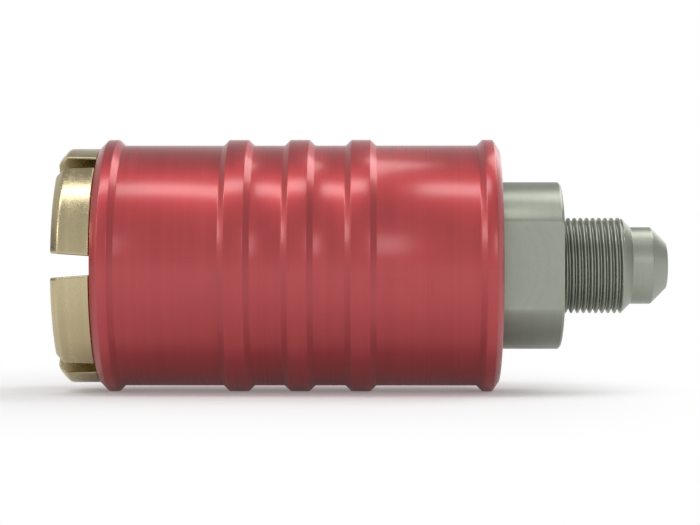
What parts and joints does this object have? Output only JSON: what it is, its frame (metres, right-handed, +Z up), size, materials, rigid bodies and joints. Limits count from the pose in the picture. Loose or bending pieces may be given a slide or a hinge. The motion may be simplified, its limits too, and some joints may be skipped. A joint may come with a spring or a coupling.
{
  "type": "refrigerant quick coupler",
  "caption": "Quick coupler for refrigerant lines: a ringed red sleeve slides back to open a ring of gripping jaws; the other end has wrench flats and a male flare thread for a hose.",
  "frame": {"origin": "on the axis at the collar's outer face, where the hose thread starts", "axes": "+X along the axis towards the hose end, -X towards the jaws, +Z up through the middle of jaw_1"},
  "size_m": [0.1, 0.0418, 0.0418],
  "materials": {
    "red_anodised": "satin red anodised, finely turned",
    "jaw_gold": "pale gold satin, finely turned",
    "nickel_plate": "satin nickel, slightly olive",
    "turned_steel": "turned",
    "spring_steel": "drawn wire and stamped strip",
    "seal_rubber": "moulded black",
    "guide_plastic": "plain off-white",
    "sintered_bronze": "sintered grain"
  },
  "bodies": {
    "body": {"flare_adapter": "nickel_plate", "adapter_o_ring": "seal_rubber", "inlet_filter": "sintered_bronze", "filter_circlip": "spring_steel", "main_body": "turned_steel", "spring_seat_ring": "turned_steel", "sleeve_guide_ring": "guide_plastic", "seat_snap_ring": "spring_steel", "sleeve_spring": "spring_steel", "jaw_spread_ring": "spring_steel", "piston_snap_ring": "spring_steel", "piston_spring": "spring_steel", "poppet_spring": "spring_steel", "poppet_guide": "turned_steel"},
    "sleeve": {"sliding_sleeve": "red_anodised"},
    "piston": {"seal_piston": "turned_steel", "front_seal": "seal_rubber", "piston_o_ring": "seal_rubber"},
    "valve": {"valve_poppet": "turned_steel", "poppet_o_ring": "seal_rubber"},
    "jaw_1": {"jaw_1": "jaw_gold"},
    "jaw_2": {"jaw_2": "jaw_gold"},
    "jaw_3": {"jaw_3": "jaw_gold"},
    "jaw_4": {"jaw_4": "jaw_gold"},
    "jaw_5": {"jaw_5": "jaw_gold"},
    "jaw_6": {"jaw_6": "jaw_gold"}
  },
  "joints": [
    {"name": "sleeve_slide", "type": "slide", "parent": "body", "child": "sleeve", "axis": [1, 0, 0], "range_m": [0, 0.005], "stiffness_N_per_m": 1500, "springref_m": -0.012, "deforming": ["sleeve_spring"]},
    {"name": "piston_slide", "type": "slide", "parent": "body", "child": "piston", "axis": [1, 0, 0], "range_m": [0, 0.002], "stiffness_N_per_m": 1500, "springref_m": -0.004, "deforming": ["piston_spring"]},
    {"name": "valve_slide", "type": "slide", "parent": "body", "child": "valve", "axis": [1, 0, 0], "range_m": [0, 0.002], "deforming": ["poppet_spring"]},
    {"name": "jaw_1_swing", "type": "hinge", "parent": "body", "child": "jaw_1", "pos_m": [-0.0541, 0, 0.0125], "axis": [0, 1, 0], "range_deg": [0, 4.15]},
    {"name": "jaw_2_swing", "type": "hinge", "parent": "body", "child": "jaw_2", "pos_m": [-0.0541, -0.01083, 0.00625], "axis": [0, 0.5, 0.866], "range_deg": [0, 4.15]},
    {"name": "jaw_3_swing", "type": "hinge", "parent": "body", "child": "jaw_3", "pos_m": [-0.0541, -0.01083, -0.00625], "axis": [0, -0.5, 0.866], "range_deg": [0, 4.15]},
    {"name": "jaw_4_swing", "type": "hinge", "parent": "body", "child": "jaw_4", "pos_m": [-0.0541, 0, -0.0125], "axis": [0, -1, 0], "range_deg": [0, 4.15]},
    {"name": "jaw_5_swing", "type": "hinge", "parent": "body", "child": "jaw_5", "pos_m": [-0.0541, 0.01083, -0.00625], "axis": [0, -0.5, -0.866], "range_deg": [0, 4.15]},
    {"name": "jaw_6_swing", "type": "hinge", "parent": "body", "child": "jaw_6", "pos_m": [-0.0541, 0.01083, 0.00625], "axis": [0, 0.5, -0.866], "range_deg": [0, 4.15]}
  ],
  "couplings": [
    {"joint": "valve_slide", "follows": "piston_slide", "ratio": 1},
    {"joint": "jaw_1_swing", "follows": "sleeve_slide", "rad_per_m": 14.4},
    {"joint": "jaw_2_swing", "follows": "sleeve_slide", "rad_per_m": 14.4},
    {"joint": "jaw_3_swing", "follows": "sleeve_slide", "rad_per_m": 14.4},
    {"joint": "jaw_4_swing", "follows": "sleeve_slide", "rad_per_m": 14.4},
    {"joint": "jaw_5_swing", "follows": "sleeve_slide", "rad_per_m": 14.4},
    {"joint": "jaw_6_swing", "follows": "sleeve_slide", "rad_per_m": 14.4}
  ]
}
